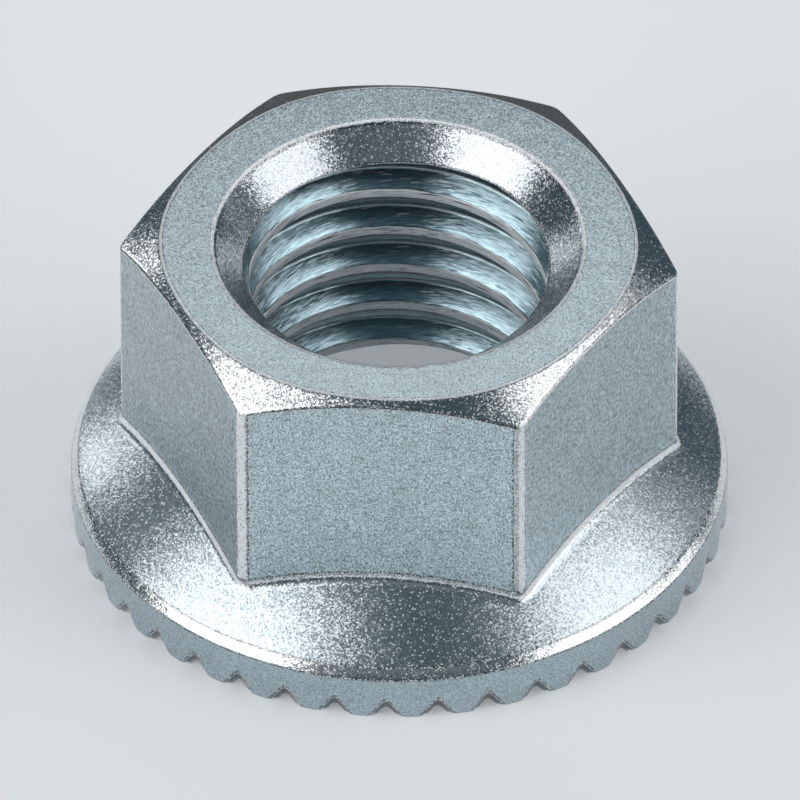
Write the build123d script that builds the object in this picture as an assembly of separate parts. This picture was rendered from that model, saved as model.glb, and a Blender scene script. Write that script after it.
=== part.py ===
from build123d import *
import os
from math import atan2, cos, degrees, hypot, radians, sin, sqrt, tan

# Hexagon flange nut with a serrated bearing face, one solid piece of steel.
# Sizes are in millimetres and angles in degrees. The origin is the centre of the bearing plane,
# which the tooth tips touch, and +Z runs up the axis of the thread. Two of the six flats face -Y and +Y.

# Hexagon
side_count = 6
across_flats = 17.0
overall_height = 11.9
edge_radius = 0.45
end_face_inset = 0.25
end_chamfer_angle = 30.0

# Bore, with its wall at the minor diameter of an M12 coarse thread
bore_diameter = 10.4
countersink_diameter = 12.9
countersink_angle = 90.0

# Flange, with an upright rim, a bevel above it and a slightly domed top, which is part of a sphere
flange_diameter = 23.0
rim_height = 1.7
bevel_width = 0.25
bevel_height = 0.35
flange_height_at_flats = 3.75
junction_radius = 0.45

# Underside: a shallow round recess inside the ring of teeth, then a wide mouth to the bore
recess_diameter = 16.6
recess_depth = 0.9
recess_ledge = 0.35
mouth_depth = 1.6

# Serrations: straight radial grooves in the bearing face, each with a steep run-out at the rim
tooth_count = 40
first_groove_angle = 2.0
groove_flank_angle = 54.0
groove_root_width = 0.16
groove_depth_at_recess = 0.22
groove_depth_at_rim = 0.36
notch_depth = 0.83
notch_slope = 72.0
tooth_tip_radius = 0.4

# How far a cutting shape runs past the surface that it cuts
overrun = 1.0

# Where the turned flange's faces start and end, clear of the hexagon's corners
seam_angle = 15.0

flange_radius = flange_diameter / 2
apothem = across_flats / 2
bevel_top_height = rim_height + bevel_height


def turned(points):
    """A solid of revolution about Z, from the corners of its half section in the XZ plane."""
    return revolve(Plane.XZ * make_face(Polyline(*points, close=True)), Axis.Z)


def hexagon():
    """The six-sided column with rounded upright edges and a conical chamfer at its upper end."""
    outline = RegularPolygon(apothem, side_count, major_radius=False)
    outline = fillet(outline.vertices(), edge_radius)
    column = extrude(outline, overall_height)
    face_radius = apothem - end_face_inset
    chamfer_drop = across_flats * tan(radians(end_chamfer_angle))
    envelope = turned(
        [
            (0, 0),
            (face_radius + across_flats, 0),
            (face_radius + across_flats, overall_height - chamfer_drop),
            (face_radius, overall_height),
            (0, overall_height),
        ]
    )
    return column & envelope


def flange():
    """The round flange. Its domed top runs on inside the hexagon, where the two are one piece.

    The sphere is centred on the axis, as far from the top of the bevel as from the foot of the flats.
    """
    bevel_top = (flange_radius - bevel_width, bevel_top_height)
    foot_of_flats = (apothem, flange_height_at_flats)
    squares = hypot(*foot_of_flats) ** 2 - hypot(*bevel_top) ** 2
    centre_height = squares / (2 * (flange_height_at_flats - bevel_top_height))
    sphere_radius = hypot(bevel_top[0], bevel_top_height - centre_height)
    inner_radius = apothem - overrun
    inner_end = (inner_radius, centre_height + sqrt(sphere_radius**2 - inner_radius**2))
    dome = ThreePointArc(bevel_top, foot_of_flats, inner_end)
    rest = Polyline(
        inner_end,
        (0, inner_end[1]),
        (0, 0),
        (flange_radius, 0),
        (flange_radius, rim_height),
        bevel_top,
    )
    return Rot(0, 0, seam_angle) * revolve(Plane.XZ * make_face([dome, rest]), Axis.Z)


def bore():
    """What is taken out along the axis: countersink, bore, wide mouth and the recess below it."""
    bore_radius = bore_diameter / 2
    countersink_radius = countersink_diameter / 2
    countersink_depth = (countersink_radius - bore_radius) / tan(radians(countersink_angle / 2))
    mouth_radius = recess_diameter / 2 - recess_ledge
    return turned(
        [
            (0, -overrun),
            (recess_diameter / 2, -overrun),
            (recess_diameter / 2, recess_depth),
            (mouth_radius, recess_depth),
            (bore_radius, recess_depth + mouth_depth),
            (bore_radius, overall_height - countersink_depth),
            (countersink_radius, overall_height),
            (countersink_radius, overall_height + overrun),
            (0, overall_height + overrun),
        ]
    )


def groove_section(depth, shoulder_radius):
    """The V section of a cut, with the bearing plane as its X axis and a narrow flat root above.

    Its flanks run down to that plane and on below it. Where a shoulder radius is given, they turn
    outward at the plane instead, which rounds the tips of the teeth on both sides.
    """
    half_root = groove_root_width / 2
    spread = 1 / tan(radians(groove_flank_angle))
    half_width = half_root + depth * spread
    root = [(half_root, depth), (-half_root, depth)]
    if shoulder_radius == 0:
        foot = half_width + overrun * spread
        return make_face(Polyline(*root, (-foot, -overrun), (foot, -overrun), close=True))
    brow = half_width + shoulder_radius
    left = [(-half_width, 0), (-brow, 0), (-brow, -overrun)]
    right = [(brow, -overrun), (brow, 0), (half_width, 0)]
    section = make_face(Polyline(*root, *left, *right, close=True))
    between_brows = section.vertices().filter_by_position(Axis.X, -half_width, half_width)
    shoulders = between_brows.group_by(Axis.Y)[0]
    return fillet(shoulders, shoulder_radius)


def swept_cut(section, radius, slope_angle, inward, outward):
    """A section stood up at a radius on +X and swept along a line that climbs outward at an angle."""
    place = Plane(origin=(radius, 0, 0), x_dir=(0, 1, 0), z_dir=(1, 0, 0))
    slope = radians(slope_angle)
    along = Vector(cos(slope), 0, sin(slope))
    start = Pos(along * -inward) * (place * section)
    return extrude(start, inward + outward, dir=along)


def serrations():
    """One radial groove and its run-out at the rim, repeated round the axis."""
    ring_width = flange_radius - recess_diameter / 2
    climb = degrees(atan2(groove_depth_at_rim - groove_depth_at_recess, ring_width))
    along_face = groove_section(groove_depth_at_rim, 0)
    at_rim = groove_section(notch_depth, tooth_tip_radius)
    cut = swept_cut(along_face, flange_radius, climb, ring_width + overrun, overrun)
    cut += swept_cut(at_rim, flange_radius, notch_slope, overrun, overrun)
    step = 360 / tooth_count
    return [Rot(0, 0, first_groove_angle + step * i) * cut for i in range(tooth_count)]


def flange_nut():
    """The whole nut: hexagon and flange in one, then the fillet between them, the bore and the teeth."""
    nut = hexagon() + flange()
    lower_half = nut.edges().filter_by_position(Axis.Z, bevel_top_height, overall_height / 2)
    # The six short curves at the corners are picked, and the fillet runs on along the flats between them
    corner_feet = [e for e in lower_half if e.geom_type not in (GeomType.LINE, GeomType.CIRCLE)]
    nut = fillet(corner_feet, junction_radius)
    nut -= bore()
    nut -= serrations()
    return nut


os.makedirs("parts", exist_ok=True)
export_step(flange_nut(), "parts/flange_nut.step")
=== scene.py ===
import bpy
import math
import numpy as np
from mathutils import Matrix, Vector


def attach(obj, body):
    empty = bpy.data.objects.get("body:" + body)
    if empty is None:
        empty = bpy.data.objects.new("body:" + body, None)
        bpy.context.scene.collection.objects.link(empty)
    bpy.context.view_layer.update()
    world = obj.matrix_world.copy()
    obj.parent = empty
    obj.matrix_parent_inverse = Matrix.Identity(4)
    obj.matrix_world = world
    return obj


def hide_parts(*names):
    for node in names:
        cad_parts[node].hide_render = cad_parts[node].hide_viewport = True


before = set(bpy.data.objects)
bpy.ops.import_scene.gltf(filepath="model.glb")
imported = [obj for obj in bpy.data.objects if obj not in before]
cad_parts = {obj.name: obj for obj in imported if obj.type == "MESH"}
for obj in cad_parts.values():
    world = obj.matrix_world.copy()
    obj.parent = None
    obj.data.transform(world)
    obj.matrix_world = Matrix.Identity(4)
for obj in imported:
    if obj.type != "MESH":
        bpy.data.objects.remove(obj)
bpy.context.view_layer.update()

# Flange nut
# One piece of cold-formed steel, tapped M12 coarse and plated with bright blue-white zinc. Hexagon, flange
# and the teeth under the flange are pressed in one blow of the header. The chamfer, the countersink and the
# thread are cut. Here its skin is one closed grid: rows run round the half section, columns round the axis.

MM = 0.001
COLUMNS = 600

# Sizes in millimetres, as the solid has them
apothem = 17.0 / 2
height = 11.9
edge_radius = 0.45
top_face_radius = 8.25
chamfer_slope = math.tan(math.radians(30.0))
minor_radius = 5.2
countersink_radius = 6.45
rim_radius = 11.5
rim_height = 1.7
bevel_inner_radius = 11.25
bevel_top = 2.05
foot_of_flats = 3.75
junction_radius = 0.45
recess_radius = 8.3
recess_depth = 0.9
mouth_radius = 7.95
mouth_depth = 1.6

# The edge of the end face isn't quite round: by this, it lies further out at the hexagon's corners and further
# in over its flats
top_face_bulge = 0.06

# The flange's top is part of a sphere with its centre on the axis, at this height
sphere_squares = apothem**2 + foot_of_flats**2 - bevel_inner_radius**2 - bevel_top**2
sphere_centre = sphere_squares / (2 * (foot_of_flats - bevel_top))
sphere_radius = math.hypot(bevel_inner_radius, bevel_top - sphere_centre)

# Teeth: radial grooves, each with a notch at the rim that runs out steeply
tooth_count = 40
first_groove = 2.0
flank_angle = math.radians(54.0)
flank = math.tan(flank_angle)
run_out_slope = math.tan(math.radians(72.0))
notch_depth = 0.83
notch_root_radius = 0.13
tip_radius = 0.4
groove_depth_at_recess = 0.22
groove_depth_at_rim = 0.36
groove_half_root = 0.08
groove_root_blend = 0.04
groove_foot_blend = 0.02
rim_edge = 0.06

# Half of the notch's section, by the distance from its middle. The root's arc ends at the root's end, fallen
# by the root's drop. The straight flank from there would meet the bearing plane at its foot, and the tip's arc
# touches both of them one tangent's length from that foot. One column falls near the middle of the flank.
root_end = notch_root_radius * math.sin(flank_angle)
root_drop = notch_root_radius * (1 - math.cos(flank_angle))
flank_foot = root_end + (notch_depth - root_drop) / flank
tip_tangent = tip_radius * math.tan(flank_angle / 2)
tip_start = flank_foot - tip_tangent * math.cos(flank_angle)
tip_end = flank_foot + tip_tangent
flank_middle = 0.337

# Each side of the hexagon takes this turn, in degrees, and each half of a corner's rounding takes this share
# of a side's columns
side_turn = 60
half_arc = 0.06

column = np.arange(COLUMNS)
even_turn = column * 360 / COLUMNS


def softer_max(a, b, blend):
    """The larger of two heights, with the crease between them rounded over about the blend's width.

    It is half of the sum of both heights and the root of their squared difference plus the squared blend.
    """
    return (a + b + np.sqrt((a - b) ** 2 + blend**2)) / 2


def hexagon_outline():
    """Point and outward normal of the rounded hexagon for each column.

    A point lies on a smaller hexagon and is moved out along its normal by the edge radius. On the first and
    last columns of a side the smaller hexagon's point stays in its corner and the normal turns at an even
    pace, by half of a side's turn. On the columns between, the normal stays and the point moves at an even
    pace. The corners lie at 0, 60, 120 degrees and so on.
    """
    sector = np.floor(even_turn / side_turn)
    share = even_turn / side_turn - sector
    on_side = np.clip((share - half_arc) / (1 - 2 * half_arc), 0, 1)
    turning = np.minimum(share / half_arc - 1, 0) + np.maximum((share - 1) / half_arc + 1, 0)
    lean = side_turn / 2 * turning
    side = np.radians(side_turn * sector + side_turn / 2)
    facing = side + np.radians(lean)
    inner = apothem - edge_radius
    along = inner * math.tan(math.radians(side_turn / 2)) * (2 * on_side - 1)
    x = inner * np.cos(side) - along * np.sin(side) + edge_radius * np.cos(facing)
    y = inner * np.sin(side) + along * np.cos(side) + edge_radius * np.sin(facing)
    return np.stack([x, y], 1), np.stack([np.cos(facing), np.sin(facing)], 1)


def tooth_columns():
    """Angle of each column at the rim, and the angle of its groove.

    A tooth has 15 columns, and they fall on the corners of the notch's section. The angle is that of the
    groove plus the arc sine of the distance across over the rim's radius.
    """
    per_tooth = COLUMNS // tooth_count
    half_tooth = per_tooth // 2
    counted = column - round(first_groove / 360 * COLUMNS) + half_tooth
    place = counted % per_tooth - half_tooth
    groove = first_groove + 360 / tooth_count * np.floor(counted / per_tooth)
    corners = [0, root_end, flank_middle, tip_start, tip_end]
    offset = np.sign(place) * np.interp(np.abs(place), [0, 2, 3, 4, half_tooth], corners)
    return groove + np.degrees(np.arcsin(offset / rim_radius)), groove


def notch_profile(across):
    """Height of the notch's ceiling at the rim, by the distance across from its middle.

    The root is a circle's arc, the flank a straight line of its slope, and the tip the arc of a circle that
    touches the bearing plane. Past the tip's end the height is 0.
    """
    t = np.abs(across)
    root = notch_depth - notch_root_radius + np.sqrt(np.maximum(notch_root_radius**2 - t**2, 0))
    straight = (flank_foot - t) * flank
    tip = tip_radius - np.sqrt(np.maximum(tip_radius**2 - (tip_end - t) ** 2, 0))
    shape = np.where(t < root_end, root, np.where(t < tip_start, straight, tip))
    return np.where(t > tip_end, 0, shape)


def bearing_height(radius, turn, groove):
    """Height of the toothed underside: the highest of the bearing plane, the long groove and the rim notch.

    The groove's ceiling climbs outward in a straight line and falls off on both sides of its flat root with
    the slope of the flanks. The notch's ceiling is its profile, climbing outward with the run-out's slope.
    """
    off = np.radians(turn - groove)
    across = radius * np.sin(off)
    outward = radius * np.cos(off)
    share = (outward - recess_radius) / (rim_radius - recess_radius)
    depth = groove_depth_at_recess + (groove_depth_at_rim - groove_depth_at_recess) * share
    long_groove = depth - softer_max(np.abs(across) - groove_half_root, 0, groove_root_blend) * flank
    notch = notch_profile(across) + (outward - rim_radius) * run_out_slope
    return softer_max(np.maximum(long_groove, notch), 0, groove_foot_blend)


def on_circle(radius, turn, z):
    """A row of points at a radius and a height: radius times the cosine and the sine of the turn, and z."""
    a = np.radians(turn)
    radius = np.broadcast_to(radius, a.shape)
    return np.stack([radius * np.cos(a), radius * np.sin(a), np.broadcast_to(z, a.shape)], 1)


def raised(points, by):
    """The points moved up by a height."""
    return points + np.array([0, 0, by])


def between(start, end, shares):
    """Rows on straight lines from one row of points to another, at the given shares of the way."""
    return [start + (end - start) * s for s in shares]


def rounded(start, corner, end, shares):
    """Rows on quadratic curves that leave a start row towards the corner row and arrive at the end row.

    For a share s the three rows weigh (1 - s) squared, twice s times (1 - s), and s squared.
    """
    return [(1 - s) ** 2 * start + 2 * s * (1 - s) * corner + s**2 * end for s in shares]


def on_sphere(flat):
    """Points of the flange's domed top above the given places.

    The height is the centre's plus the root of the squared radius less the squared distance from the axis.
    """
    reach = (flat**2).sum(1)
    return np.column_stack([flat, sphere_centre + np.sqrt(sphere_radius**2 - reach)])


outline, facing = hexagon_outline()
rim_turn, groove_turn = tooth_columns()

# Painted light of the hexagon by column, in the numbers that add explains. An upright edge has a painted
# highlight in its middle, with a broken line of painted shade and painted highlight along its borders. One
# edge has a strip of painted dark reflection. The two flats that face -Y and +Y have no painted shade, and
# the other four are a little darkened by painted shade, with a painted highlight band at their foot.
along_side = even_turn / side_turn % 1
from_corner = np.minimum(along_side, 1 - along_side) / half_arc
corner_painted_light = np.interp(from_corner, [0.7, 0.85, 1.0, 1.01], [0.58, 0.42, 0.38, 0])
# A strip of painted dark reflection on one upright edge
painted_dark_strip = (even_turn > 296) & (even_turn < 299)
corner_painted_light[painted_dark_strip] = 0.34
unshaded_flat = np.isin(np.floor(even_turn / side_turn), [1, 4])
flat_painted_light = corner_painted_light + np.where(unshaded_flat | (from_corner < 1.01), 0, -0.27)
band_painted_light = np.where(unshaded_flat, 0, 2)
rows = []
finishes = []
# Painted light of each row: painted highlights and painted shade, carried to the materials
painted_light = []


def add(finish, new_rows, painted_light_level=0.0):
    """Adds rows to the skin. The strip that ends at each of these rows gets the finish.

    The painted light of a row is one number, or one for each column. 0 is plain plate, 0.3 to 0.45 is a
    broken line of painted shade and painted highlight specks along an edge, and from 0.5 on the edge has a
    near-white painted highlight. Below 0 the plate is darkened by painted shade, down to -1 deep in a recess.
    """
    rows.extend(new_rows)
    finishes.extend([finish] * len(new_rows))
    painted_light.extend([np.broadcast_to(painted_light_level, (COLUMNS,))] * len(new_rows))


# Recess and bearing face, from the mouth of the bore outwards. Here and below, rows lie close to both sides of
# an edge, so that it stays crisp. Painted shade darkens the plate in a groove by its depth, and fully from
# this depth on.
full_shade_depth = 0.12
mouth_edge = on_circle(mouth_radius, even_turn, recess_depth)
add("turned", [mouth_edge])
for radius, share in ((8.1, 0.4), (8.26, 0.9)):
    turn = even_turn + (rim_turn - even_turn) * share
    add("turned", [on_circle(radius, turn, recess_depth)])
inner_edge = bearing_height(recess_radius, rim_turn, groove_turn)
add("turned", [on_circle(recess_radius, rim_turn, recess_depth - 0.04)])
add("turned", [on_circle(recess_radius, rim_turn, inner_edge + 0.05)])
for radius in (8.33, 8.4, 9.2, 10.0, 10.7, 11.05, 11.18, 11.23, 11.28, 11.33, 11.38, 11.42):
    row = on_circle(radius, rim_turn, bearing_height(radius, rim_turn, groove_turn))
    add("pressed", [row], -np.clip(row[:, 2] / full_shade_depth, 0, 1))

# Rim: softened edge of the teeth, upright wall, bevel
tooth_edge_radius = rim_radius - rim_edge
tooth_edge_height = bearing_height(tooth_edge_radius, rim_turn, groove_turn)
tooth_edge = on_circle(tooth_edge_radius, rim_turn, tooth_edge_height)
wall_foot = on_circle(rim_radius, rim_turn, bearing_height(rim_radius, rim_turn, groove_turn))
# Painted shade in the grooves at the foot of the wall, by their depth
in_groove = -np.clip(wall_foot[:, 2] / full_shade_depth, 0, 1)
wall_start = raised(wall_foot, rim_edge)
wall_top = on_circle(rim_radius, rim_turn, rim_height)
bevel_end = on_circle(bevel_inner_radius, rim_turn, bevel_top)
# The rounded edge of the teeth gets painted shade in the grooves, then a broken line of painted shade and
# painted highlight
add("pressed", rounded(tooth_edge, wall_foot, wall_start, (0,)), in_groove)
add("pressed", rounded(tooth_edge, wall_foot, wall_start, (0.33, 0.67)), 0.4)
add("pressed", [wall_start])
add("pressed", between(wall_start, wall_top, (0.1, 0.4, 0.7, 0.93)))
below_bevel = raised(wall_top, -0.05)
bevel_start = wall_top + (bevel_end - wall_top) * 0.14
# A broken line of painted shade and painted highlight runs round the wall's top edge
add("pressed", rounded(below_bevel, wall_top, bevel_start, (0,)), 0.1)
add("pressed", rounded(below_bevel, wall_top, bevel_start, (0.33, 0.67)), 0.42)
add("bright", [bevel_start])

# Domed top of the flange, up to the foot of the junction fillet. A ball that touches the flats and the sphere
# has its centre out from the outline by the ball's radius. It touches each of them one radius from its centre.
ball = on_sphere(outline + junction_radius * facing)
reach = ((outline + junction_radius * facing) ** 2).sum(1)
ball[:, 2] = sphere_centre + np.sqrt((sphere_radius + junction_radius) ** 2 - reach)
to_wall = np.column_stack([-facing, np.zeros(COLUMNS)])
to_sphere = (np.array([0, 0, sphere_centre]) - ball) / (sphere_radius + junction_radius)
swing = np.arccos((to_wall * to_sphere).sum(1))[:, None]


def fillet_row(share):
    """Points of the rolling ball's arc, from the sphere at share 0 to the flat at share 1, by an even turn.

    The directions to the sphere and to the wall weigh the sines of the angles still to turn and turned so
    far, over the sine of the whole angle.
    """
    direction = np.sin((1 - share) * swing) * to_sphere + np.sin(share * swing) * to_wall
    return ball + junction_radius * direction / np.sin(swing)


dome_start = bevel_end[:, :2]
dome_foot = fillet_row(0)[:, :2]
dome_shares = (0.03, 0.15, 0.32, 0.5, 0.68, 0.85, 0.97)
dome = [on_sphere(dome_start + (dome_foot - dome_start) * s) for s in dome_shares]
bevel_last = bevel_end + (wall_top - bevel_end) * 0.12
# A broken line of painted shade and painted highlight along the bevel's inner edge
add("bright", rounded(bevel_last, bevel_end, dome[0], (0,)))
add("bright", rounded(bevel_last, bevel_end, dome[0], (0.33, 0.67)), 0.44)
add("dome", dome)
add("dome", [fillet_row(s) for s in (0, 0.17, 0.28)])
add("bright", [fillet_row(0.4)])
# A painted highlight band at the foot of the four side flats, then a broken line of painted shade where the
# fillet meets the flats
add("bright", [fillet_row(s) for s in (0.55, 0.7)], band_painted_light)
add("dome", [fillet_row(0.85), fillet_row(1)], 0.34)

# Six flats, and the cone that chamfers their corners. The edge between them and the edge at the end face are
# rounded, so far on each side. The chamfer counts as at least so wide there.
flat_rounding = 0.1
face_rounding_on_cone = 0.07
face_rounding = 0.08
least_chamfer = 0.2
reach = np.hypot(outline[:, 0], outline[:, 1])
own_turn = np.degrees(np.arctan2(outline[:, 1], outline[:, 0]))
outline_turn = even_turn + (own_turn - even_turn + 180) % 360 - 180
top_radius = top_face_radius + top_face_bulge * np.cos(np.radians(6 * outline_turn))
crest = height - (reach - top_radius) * chamfer_slope
chamfer_width = np.maximum(reach - top_radius, least_chamfer)[:, None]
flat_foot = fillet_row(1)
flat_top = np.column_stack([outline, crest])
flat_last = raised(flat_top, -flat_rounding)
first_flat_row = len(rows)
# The flats carry the hexagon's painted light by column
add("flat", between(flat_foot, raised(flat_top, -0.12), (0.02, 0.25, 0.5, 0.75, 0.98)), flat_painted_light)
last_flat_row = len(rows) - 1
face_edge = on_circle(top_radius, outline_turn, height)
cone_start = flat_top + (face_edge - flat_top) * (flat_rounding / chamfer_width)
add("flat", rounded(flat_last, flat_top, cone_start, (0, 0.25)), flat_painted_light)
# A broken line of painted shade and painted highlight along the chamfer's lower edge
add("bright", rounded(flat_last, flat_top, cone_start, (0.5, 0.75)), 0.36)
add("bright", [cone_start])
cone_end = face_edge + (flat_top - face_edge) * (face_rounding_on_cone / chamfer_width)
add("bright", between(cone_start, cone_end, (0.1, 0.5, 0.9, 1)))
face_radius = top_radius - face_rounding
face_start = on_circle(face_radius, outline_turn, height)
# A near-white painted highlight on the end face's rounded edge, and a few specks of painted shade inside it
add("bright", rounded(cone_end, face_edge, face_start, (0.33, 0.67)), 0.9)
add("end_face", [face_start], 0.2)

# End face, the rounded lip of the countersink, and its cone down to the thread
lip_radius = countersink_radius + 0.13
lip_drop = 0.09
for share in (0.04, 0.35, 0.7, 0.97):
    turn = outline_turn + (even_turn - outline_turn) * share
    add("end_face", [on_circle(face_radius + (lip_radius - face_radius) * share, turn, height)])
lip_outer = on_circle(lip_radius, even_turn, height)
lip_corner = on_circle(countersink_radius, even_turn, height)
lip_inner = on_circle(countersink_radius - lip_drop, even_turn, height - lip_drop)
add("end_face", [lip_outer])
# A near-white painted highlight on the lip, then a broken line of painted shade below it
add("countersink", rounded(lip_outer, lip_corner, lip_inner, (0.25, 0.5)), 0.95)
add("countersink", rounded(lip_outer, lip_corner, lip_inner, (0.75, 1)), 0.28)

# Thread, right-handed, M12 x 1.75 with 60 degree flanks. Its rows climb with the helix. The middle of a crest
# is at the crest's height where the turn is the crest's turn.
pitch = 1.75
thread_depth = 0.76
crest_land = 0.33
crest_height = 2.56
crest_turn = 94.44
crest_blend = 0.04
root_blend = 0.1

# Rows of one pitch, as heights over the middle of the crest, and their painted light. A crest gets a painted
# highlight, a painted highlight line runs at the foot of the flank over it, and painted shade darkens the
# flanks towards the root, and the root most.
stations = np.array([0, 0.12, 0.165, 0.21, 0.385, 0.56, 0.61, 0.68, 0.875])
stations = np.concatenate([stations, pitch - stations[-2:0:-1]])
station_painted_light = [
    0.6, 0.6, 0.7, 0.05, -0.4, -0.8, 0.9, -0.6,
    -0.9, -0.9, -0.9, -0.85, -0.6, -0.1, 0.3, 0.6,
]
per_pitch = len(stations)


def thread_radius(z, turn):
    """Radius of the threaded wall, by height and turn.

    The crests rise by one pitch a turn. The distance from the middle of the nearest one, less half its land,
    times the root of 3, is the climb of the flank. The climb is no less than 0 and no more than the thread's
    depth, with both creases rounded, and comes on top of the minor radius.
    """
    offset = (z - crest_height - pitch * (turn - crest_turn) / 360 + pitch / 2) % pitch - pitch / 2
    climb = (np.abs(offset) - crest_land / 2) * math.sqrt(3)
    rise = softer_max(climb, 0, crest_blend)
    return minor_radius + thread_depth - softer_max(thread_depth - rise, 0, root_blend)


def meeting(cut_radius, z_from, z_to, turn):
    """Height at which a cone hands over to the thread, for each turn.

    Heights are tried from the first one towards the other, and the one where the thread is the wider of the
    two is taken, moved to the crossing by straight-line interpolation. Where the thread is the wider from
    the start, the cone ends there, as a lip over the groove.
    """
    tries = 4000
    z = np.linspace(z_from, z_to, tries)[:, None]
    gap = cut_radius(z) - thread_radius(z, turn[None, :])
    first = np.maximum(np.argmax(gap < 0, axis=0), 1)
    each = np.arange(len(turn))
    before = np.maximum(gap[first - 1, each], 0)
    after = gap[first, each]
    return z[first - 1, 0] + (z[first, 0] - z[first - 1, 0]) * before / (before - after)


def countersink(z):
    """Radius of the 90 degree countersink: its upper radius less the depth below the end face."""
    return countersink_radius - (height - z)


def mouth(z):
    """Radius of the wide mouth under the thread: a straight line from the recess up to the minor radius."""
    return minor_radius + (recess_depth + mouth_depth - z) * (mouth_radius - minor_radius) / mouth_depth


# The countersink ends where it meets the thread, at this height or lower, and the mouth where it meets it from
# below. The search for both ends at the middle height.
lip_height = 10.84
middle_height = 6.0
lip_thickness = 0.03
closed_turn = np.append(even_turn, 360.0)
upper = meeting(countersink, lip_height, middle_height, closed_turn)
lower = meeting(mouth, recess_depth + 0.4, middle_height, closed_turn)
thread_start = on_circle(countersink(upper), closed_turn, upper)[:COLUMNS]
add("countersink", between(lip_inner, thread_start, (0.04, 0.3, 0.6, 0.93)))
# A broken line of painted highlight and painted shade along the countersink's lower edge and the lip over the
# thread
add("countersink", [thread_start], 0.5)
add("thread", [raised(thread_start, -lip_thickness)], 0.4)
upper_row = len(rows) - 1

# Rows of all the pitches, from above the countersink's edge down to below the mouth's
pitches = np.arange(-2, 6)
base = (pitches[:, None] * pitch + stations[None, :]).ravel()[::-1]
thread_z = base[:, None] + crest_height + pitch * (closed_turn[None, :] - crest_turn) / 360
thread_r = thread_radius(thread_z, closed_turn[None, :])
thread_r = np.maximum(thread_r, np.maximum(countersink(thread_z), mouth(thread_z)))
thread_rows = [on_circle(r, closed_turn, z) for r, z in zip(thread_r, thread_z)]
first_thread_row = len(rows)
for row, painted_light_level in zip(thread_rows, np.tile(station_painted_light[::-1], len(pitches))):
    add("thread", [row[:COLUMNS]], painted_light_level)

thread_end = on_circle(mouth(lower), closed_turn, lower)[:COLUMNS]
add("thread", [thread_end])
lower_row = len(rows) - 1
add("turned", between(thread_end, mouth_edge, (0.08, 0.45, 0.92)))

# The grid of point numbers. Its last column is its first again, one pitch along the helix in the thread, and
# thread rows past a cone's edge fall on that edge's row.
count = len(rows)
number = np.arange(count * COLUMNS).reshape(count, COLUMNS)
number = np.column_stack([number, number[:, 0]])
threads = slice(first_thread_row, first_thread_row + len(thread_rows))
block = number[threads].copy()
block[per_pitch:, -1] = number[threads][:-per_pitch, 0]
block[:per_pitch, -1] = number[upper_row, 0]
past_upper = thread_z >= upper[None, :] - lip_thickness
past_lower = thread_z <= lower[None, :]
block = np.where(past_upper, number[upper_row], np.where(past_lower, number[lower_row], block))
number[threads] = block
number = np.vstack([number, number[:1]])
strip_finish = finishes[1:] + ["turned"]

# Quads of the grid. Where two corners are one point, a triangle is left, and where more are, nothing.
here = number[:-1, :-1]
beside = number[:-1, 1:]
opposite = number[1:, 1:]
above = number[1:, :-1]
quads = np.stack([here, beside, opposite, above], -1).reshape(-1, 4)
FINISH_NAMES = ["flat", "bright", "dome", "pressed", "turned", "countersink", "thread", "end_face"]
quad_finish = np.repeat([[FINISH_NAMES.index(f)] for f in strip_finish], COLUMNS, axis=1)
on_edge = (from_corner < 1.001) & (np.roll(from_corner, -1) < 1.001)
quad_finish[first_flat_row : last_flat_row + 2, on_edge] = FINISH_NAMES.index("bright")
quad_finish = quad_finish.ravel()
same = quads == np.roll(quads, -1, axis=1)
whole = quads[~same.any(1)]
whole_finish = quad_finish[~same.any(1)]
three = same.sum(1) == 1
order = np.sort(np.argsort(same[three], axis=1, kind="stable")[:, :3], axis=1)
triangles = np.take_along_axis(quads[three], order, axis=1)
first, second, third = triangles.T
proper = (first != second) & (second != third) & (first != third)
triangles = triangles[proper]
triangle_finish = quad_finish[three][proper]

points = np.concatenate(rows)
used = np.unique(np.concatenate([whole.ravel(), triangles.ravel()]))
renumber = np.zeros(len(points), int)
renumber[used] = np.arange(len(used))
faces = renumber[whole].tolist() + renumber[triangles].tolist()
face_finish = np.concatenate([whole_finish, triangle_finish]).astype(np.int32)
mesh = bpy.data.meshes.new("flange_nut_skin")
mesh.from_pydata((points[used] * MM).tolist(), [], faces)
mesh.polygons.foreach_set("material_index", face_finish)
mesh.polygons.foreach_set("use_smooth", np.ones(len(faces), bool))
# The painted light of each point, which the materials turn into painted highlights and painted shade
point_painted_light = mesh.attributes.new("painted_light", "FLOAT", "POINT")
point_painted_light.data.foreach_set("value", np.concatenate(painted_light)[used].astype(np.float32))
nut = bpy.data.objects.new("nut", mesh)
bpy.context.scene.collection.objects.link(nut)
print("nut", len(used), "points", 2 * len(whole) + len(triangles), "triangles")

# Colours of the plate on its differently smooth faces, and the near-white of a painted highlight on its edges
satin = (0.505, 0.605, 0.65)
faced = (0.68, 0.79, 0.84)
polished = (0.83, 0.85, 0.85)
formed = (0.605, 0.685, 0.74)
pressed = (0.41, 0.495, 0.54)
machined = (0.58, 0.62, 0.645)
cut = (0.45, 0.62, 0.69)
# Near-white painted highlight
painted_highlight = (0.96, 0.98, 1.0)

# Lay of the grain: how far it is turned about the X axis, in degrees, and how it is drawn out along each axis
even = (0, (1, 1, 1))
slanting = (35, (1, 3.2, 1))
around = (0, (18, 18, 1))

# Broken line of painted shade and painted highlight along an edge. The plate keeps its colour up to the first
# of these amounts of painted light, is darkened by painted shade between the next two, to this share of its
# colour, and has a near-white painted highlight from the last on. A noise breaks the line into specks of
# about this width in millimetres.
tone_until = 0.2
dark_from = 0.28
dark_until = 0.4
painted_highlight_from = 0.5
dark_share = 0.12
speck_width = 0.07

# Film: its roughness, how far its crystals lean, and how far and how many of them lean to make the glints
film_roughness = 0.12
film_lean = 0.2
glint_lean = 1.2
glint_share = 0.38


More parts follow.
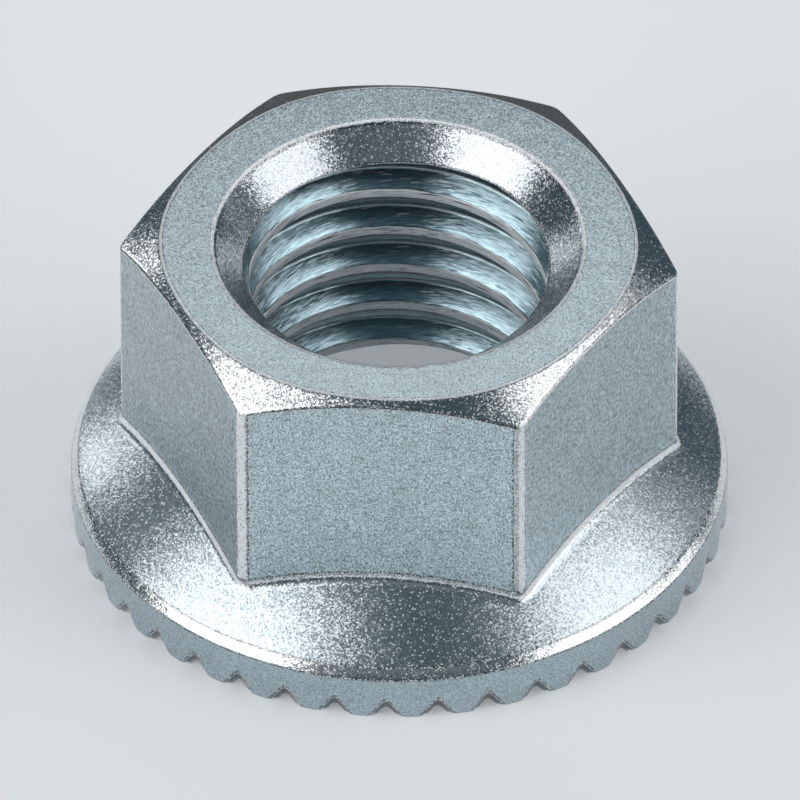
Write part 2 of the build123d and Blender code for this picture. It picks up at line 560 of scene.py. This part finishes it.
def zinc(name, tone, rough, grain, tilt, contrast, film, lay):
    """Bright blue-white zinc plate, a skin of fine crystals under a thin clear film.

    The crystals are cells as wide as the grain in millimetres, drawn out along the lay. Each leans its own
    random way, by about the tilt. The film over them leans further and adds the glints where the plate is
    dark. Its refractive index says how strong they are. The tone varies with the grain, by the contrast, and
    a little with slow clouds. The mesh's painted light plus a fine noise darkens it with painted shade and
    then lightens it with a near-white painted highlight.
    """
    material = bpy.data.materials.new(name)
    material.use_nodes = True
    nodes = material.node_tree.nodes
    links = material.node_tree.links
    shader = nodes["Principled BSDF"]
    slant, stretch = lay
    stretched = nodes.new("ShaderNodeMapping")
    stretched.vector_type = "TEXTURE"
    stretched.inputs["Rotation"].default_value = (math.radians(slant), 0, 0)
    stretched.inputs["Scale"].default_value = stretch
    links.new(nodes.new("ShaderNodeTexCoord").outputs["Object"], stretched.inputs["Vector"])
    place = stretched.outputs["Vector"]

    def noise(width, detail):
        """Smooth noise with spots about as wide as said, in millimetres."""
        node = nodes.new("ShaderNodeTexNoise")
        node.inputs["Scale"].default_value = 1 / (width * MM)
        node.inputs["Detail"].default_value = detail
        links.new(place, node.inputs["Vector"])
        return node.outputs["Fac"]

    def spread(source, low, high, new_low, new_high):
        """Maps one range of numbers onto another in a straight line, without going past its ends."""
        node = nodes.new("ShaderNodeMapRange")
        node.inputs["From Min"].default_value = low
        node.inputs["From Max"].default_value = high
        node.inputs["To Min"].default_value = new_low
        node.inputs["To Max"].default_value = new_high
        links.new(source, node.inputs["Value"])
        return node.outputs["Result"]

    def number_of(operation, one, other):
        """The sum or the product of two numbers of the surface."""
        node = nodes.new("ShaderNodeMath")
        node.operation = operation
        links.new(one, node.inputs[0])
        links.new(other, node.inputs[1])
        return node.outputs["Value"]

    def vector_of(operation, vector, other=None, scale=None):
        """A vector with another one added, scaled by a number, or made one long."""
        node = nodes.new("ShaderNodeVectorMath")
        node.operation = operation
        links.new(vector, node.inputs[0])
        if other is not None:
            links.new(other, node.inputs[1])
        if scale is not None:
            links.new(scale, node.inputs["Scale"])
        return node.outputs["Vector"]

    crystals = nodes.new("ShaderNodeTexVoronoi")
    crystals.inputs["Scale"].default_value = 1 / (grain * MM)
    links.new(place, crystals.inputs["Vector"])
    own_way = nodes.new("ShaderNodeVectorMath")
    own_way.operation = "SUBTRACT"
    links.new(crystals.outputs["Color"], own_way.inputs[0])
    own_way.inputs[1].default_value = (0.5, 0.5, 0.5)
    chance = nodes.new("ShaderNodeTexWhiteNoise")
    links.new(crystals.outputs["Position"], chance.inputs["Vector"])
    shape = nodes.new("ShaderNodeNewGeometry")

    def leaning(usual, most, share, socket):
        """Leans the surface by the usual amount in each crystal, and by up to the most in a share of them.

        The crystal's own random vector, scaled by that amount, is added to the normal, made one long again.
        """
        amount = spread(chance.outputs["Value"], 1 - share, 1, usual, most)
        lean = vector_of("SCALE", own_way.outputs["Vector"], scale=amount)
        leant = vector_of("ADD", shape.outputs["Normal"], lean)
        links.new(vector_of("NORMALIZE", leant), shader.inputs[socket])

    leaning(2 * tilt, 2 * tilt + 0.1, 0.3, "Normal")
    leaning(film_lean, glint_lean, glint_share, "Coat Normal")
    shader.inputs["Coat Weight"].default_value = 1.0
    shader.inputs["Coat Roughness"].default_value = film_roughness
    shader.inputs["Coat IOR"].default_value = film

    # The painted light of the mesh, broken by a noise, picks plain tone, painted shade or a near-white painted
    # highlight, which also loses its metal gloss
    painted_light_level = nodes.new("ShaderNodeAttribute")
    painted_light_level.attribute_name = "painted_light"
    specks = spread(noise(speck_width, 2), 0.32, 0.68, -0.2, 0.2)
    ragged = number_of("ADD", painted_light_level.outputs["Fac"], specks)
    dark = [dark_share * t for t in tone]
    ramp = nodes.new("ShaderNodeValToRGB")
    ramp.color_ramp.elements[0].color = (*tone, 1)
    ramp.color_ramp.elements[1].color = (*painted_highlight, 1)
    ramp.color_ramp.elements[1].position = painted_highlight_from
    for position, colour in ((tone_until, tone), (dark_from, dark), (dark_until, dark)):
        stop = ramp.color_ramp.elements.new(position)
        stop.color = (*colour, 1)
    links.new(ragged, ramp.inputs["Fac"])
    links.new(spread(ragged, dark_until, painted_highlight_from, 1, 0.1), shader.inputs["Metallic"])

    grains = spread(noise(1.3 * grain, 1), 0.35, 0.65, 1 - contrast, 1 + contrast)
    # Painted shade: below 0 the painted light darkens the colour, to a quarter deep in a recess
    recess_shade = spread(painted_light_level.outputs["Fac"], -1, 0, 0.25, 1)
    clouds = number_of("MULTIPLY", recess_shade, spread(noise(1.1, 3), 0.3, 0.7, 0.95, 1.05))
    shade = number_of("MULTIPLY", grains, clouds)
    speckled = vector_of("SCALE", ramp.outputs["Color"], scale=shade)
    links.new(speckled, shader.inputs["Base Color"])
    smears = spread(noise(0.8, 2), 0.3, 0.7, 0.96 * rough, 1.04 * rough)
    links.new(smears, shader.inputs["Roughness"])
    return material


# Each finish: material, colour, roughness, width of a crystal, its tilt, contrast, index of the film, lay
finish_of = {
    "flat": zinc("zinc_flats", satin, 0.42, 0.045, 0.12, 0.46, 1.3, slanting),
    "end_face": zinc("zinc_end_face", faced, 0.4, 0.05, 0.07, 0.22, 1.5, even),
    "bright": zinc("zinc_chamfer", polished, 0.19, 0.048, 0.04, 0.1, 3.2, even),
    "dome": zinc("zinc_flange", formed, 0.29, 0.048, 0.05, 0.18, 2.8, even),
    "pressed": zinc("zinc_teeth", pressed, 0.38, 0.05, 0.07, 0.25, 1.3, even),
    "turned": zinc("zinc_recess", satin, 0.3, 0.05, 0.1, 0.1, 1.3, even),
    "countersink": zinc("zinc_countersink", machined, 0.2, 0.045, 0.05, 0.15, 2.7, even),
    "thread": zinc("zinc_thread", cut, 0.24, 0.02, 0.03, 0.2, 1.5, around),
}
for name in FINISH_NAMES:
    mesh.materials.append(finish_of[name])
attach(nut, "root")
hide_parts("flange_nut")

# Floor
# A plain sheet of pale matt board that the nut stands on, far wider than the picture. It glows faintly for the
# camera and where the plate mirrors it, and that glow lights nothing else.
pale = (0.85, 0.86, 0.87)
glow_strength = 0.28


def sheet(name, left, right, near, far, level):
    """A level rectangle between the given sides, in metres."""
    corners = [(left, near, level), (right, near, level), (right, far, level), (left, far, level)]
    face = bpy.data.meshes.new(name)
    face.from_pydata(corners, [], [(0, 1, 2, 3)])
    laid = bpy.data.objects.new(name, face)
    bpy.context.scene.collection.objects.link(laid)
    return laid


def matt_board(name, colour):
    """Board with a matt surface that has no gloss on it."""
    material = bpy.data.materials.new(name)
    material.use_nodes = True
    surface = material.node_tree.nodes["Principled BSDF"]
    surface.inputs["Base Color"].default_value = (*colour, 1)
    surface.inputs["Roughness"].default_value = 0.9
    surface.inputs["Specular IOR Level"].default_value = 0.0
    return material


floor = sheet("floor", -10, 10, -10, 10, 0)
board = matt_board("pale_board", pale)
nodes = board.node_tree.nodes
links = board.node_tree.links
surface = nodes["Principled BSDF"]
surface.inputs["Emission Color"].default_value = (*pale, 1)
seen = nodes.new("ShaderNodeLightPath")
camera_or_metal = nodes.new("ShaderNodeMath")
camera_or_metal.operation = "MAXIMUM"
links.new(seen.outputs["Is Camera Ray"], camera_or_metal.inputs[0])
links.new(seen.outputs["Is Glossy Ray"], camera_or_metal.inputs[1])
glow = nodes.new("ShaderNodeMath")
glow.operation = "MULTIPLY"
glow.inputs[1].default_value = glow_strength
links.new(camera_or_metal.outputs["Value"], glow.inputs[0])
links.new(glow.outputs["Value"], surface.inputs["Emission Strength"])
floor.data.materials.append(board)

# Grey card
# A sheet of dark grey card lies on the board behind the nut, out of the picture. It only shows mirrored in the
# far end of the chamfer, which it keeps darker than the board.
dark_grey = (0.17, 0.168, 0.168)
card = sheet("card", -0.15, 0.15, 0.028, 0.4, 0.0001)
card.visible_camera = False
card.visible_diffuse = False
card.visible_shadow = False
card.data.materials.append(matt_board("grey_card", dark_grey))

# Camera
# A very long lens, so the view is nearly parallel. It stands where the photograph was taken from, a little
# turned about its own axis. The aim is how far right of and above the picture's middle the nut's origin lies.
camera_azimuth = math.radians(-85.5)
camera_elevation = math.radians(41.85)
camera_roll = math.radians(0.25)
camera_distance = 150 * apothem * MM
pixels_per_mm = 242.55 / apothem
image_width = 800
sensor_width = 36
aim_right = -0.002 * apothem * MM
aim_up = -0.397 * apothem * MM
lens = bpy.data.cameras.new("camera")
camera = bpy.data.objects.new("camera", lens)
bpy.context.scene.collection.objects.link(camera)
bpy.context.scene.camera = camera
toward = Vector((
    math.cos(camera_azimuth) * math.cos(camera_elevation),
    math.sin(camera_azimuth) * math.cos(camera_elevation),
    math.sin(camera_elevation),
))
level_right = Vector((0, 0, 1)).cross(toward).normalized()
level_up = toward.cross(level_right)
right = math.cos(camera_roll) * level_right - math.sin(camera_roll) * level_up
up = math.sin(camera_roll) * level_right + math.cos(camera_roll) * level_up
camera.matrix_world = Matrix((right, up, toward)).transposed().to_4x4()
camera.location = toward * camera_distance - right * aim_right - up * aim_up
lens.sensor_width = sensor_width
lens.lens = sensor_width * pixels_per_mm / MM * camera_distance / image_width
lens.clip_start = 0.01
lens.clip_end = 10

# Lamps
# Two large softboxes stand left and right of the nut and lean over it, with a dark gap between them overhead,
# and a panel hangs close behind it. Narrow strips stand low behind it on the left, low beside it on the right
# and slanting behind it on the right. A faint lamp fills in from the front. The room is dim and blue.


def from_nut(azimuth, elevation):
    """Direction from the nut. The azimuth counts from the picture's right, and 90 degrees points away from us.

    Its level part is the cosine of the azimuth to the right and its sine away, times the elevation's cosine.
    """
    a = math.radians(azimuth)
    e = math.radians(elevation)
    away = -Vector((toward.x, toward.y, 0)).normalized()
    level = math.cos(a) * level_right + math.sin(a) * away
    return math.cos(e) * level + Vector((0, 0, math.sin(e)))


def softbox(name, one_end, other_end, width, distance, radiance):
    """A rectangular lamp that faces the nut. Its middle line joins two directions, and its width is an angle.

    Each side is twice the distance times the tangent of half its angle. Its power is the radiance times pi
    times its area.
    """
    one = from_nut(*one_end)
    other = from_nut(*other_end)
    middle = (one + other).normalized()
    along = (other - one).normalized()
    lamp = bpy.data.lights.new(name, "AREA")
    lamp.shape = "RECTANGLE"
    lamp.size = 2 * distance * math.tan(math.radians(width / 2))
    lamp.size_y = 2 * distance * math.tan(one.angle(other) / 2)
    lamp.energy = radiance * math.pi * lamp.size * lamp.size_y
    holder = bpy.data.objects.new(name, lamp)
    holder.matrix_world = Matrix((along.cross(middle), along, middle)).transposed().to_4x4()
    holder.location = middle * distance
    bpy.context.scene.collection.objects.link(holder)


# Each lamp: its two ends as azimuth and elevation in degrees, its width in degrees, its distance in metres and
# how bright it looks, where 1 is white
softbox("left_softbox", (-142, 1), (-179, 64), 48, 0.4, 1.6)
softbox("right_softbox", (-36, 1), (18, 55), 41, 0.4, 1.35)
softbox("back_panel", (90, 48), (90, 74), 44, 0.06, 0.95)
softbox("left_strip", (130, 8), (140, 26), 10, 0.4, 1.8)
softbox("right_strip", (28, 15), (60, 66), 8, 0.4, 0.5)
softbox("right_low_strip", (-8, 7), (17, 5), 10, 0.4, 1.4)
softbox("front_fill", (-90, 25), (-90, 55), 50, 0.4, 0.1)
room_blue = (0.45, 0.78, 1.0)
room_strength = 0.08
world = bpy.data.worlds.new("studio")
world.use_nodes = True
world.node_tree.nodes["Background"].inputs["Color"].default_value = (*room_blue, 1)
world.node_tree.nodes["Background"].inputs["Strength"].default_value = room_strength
bpy.context.scene.world = world

bpy.context.scene.view_settings.view_transform = "Standard"
